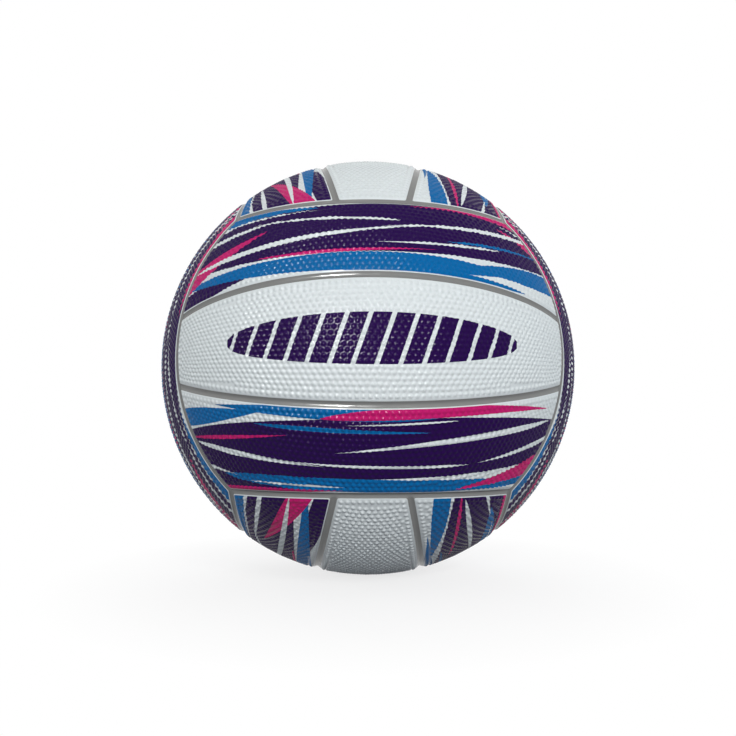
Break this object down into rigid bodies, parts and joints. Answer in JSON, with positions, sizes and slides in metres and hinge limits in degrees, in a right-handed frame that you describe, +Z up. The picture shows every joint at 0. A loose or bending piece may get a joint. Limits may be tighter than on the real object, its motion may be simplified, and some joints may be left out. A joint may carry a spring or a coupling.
{
  "type": "netball",
  "caption": "Moulded rubber ball with pebbled strip panels, silver ribs in recessed channels, inner layers, a bladder and a valve with a pull-out core.",
  "frame": {"origin": "centre of the ball", "axes": "+Z up; the front face, whose strips run along X, looks along -Y; the valve faces +Y"},
  "size_m": [0.2228, 0.2227, 0.2228],
  "materials": {
    "white_cover": "pebbled, slightly glossy",
    "printed_cover": "pebbled, slightly glossy, printed in purple, blue and pink on white",
    "rib_rubber": "smooth satin silver",
    "carcass_rubber": "matt",
    "nylon_thread": "wound thread in gum",
    "butyl_rubber": "smooth",
    "valve_rubber": "smooth satin",
    "core_rubber": "smooth satin"
  },
  "bodies": {
    "ball": {"front_upper_panel": "printed_cover", "front_middle_panel": "white_cover", "front_lower_panel": "printed_cover", "back_upper_panel": "printed_cover", "back_middle_panel": "white_cover", "back_lower_panel": "printed_cover", "top_left_panel": "printed_cover", "top_middle_panel": "white_cover", "top_right_panel": "printed_cover", "bottom_left_panel": "printed_cover", "bottom_middle_panel": "white_cover", "bottom_right_panel": "printed_cover", "left_front_panel": "printed_cover", "left_middle_panel": "white_cover", "left_back_panel": "printed_cover", "right_front_panel": "printed_cover", "right_middle_panel": "white_cover", "right_back_panel": "printed_cover", "seam_ribs": "rib_rubber", "carcass_front_half": "carcass_rubber", "carcass_back_half": "carcass_rubber", "nylon_winding": "nylon_thread", "bladder": "butyl_rubber", "valve_patch": "butyl_rubber", "valve_housing": "valve_rubber"},
    "valve_core": {"valve_core": "core_rubber"}
  },
  "joints": [
    {"name": "valve_core_pull", "type": "slide", "parent": "ball", "child": "valve_core", "axis": [0, 1, 0], "range_m": [0, 0.014]}
  ]
}
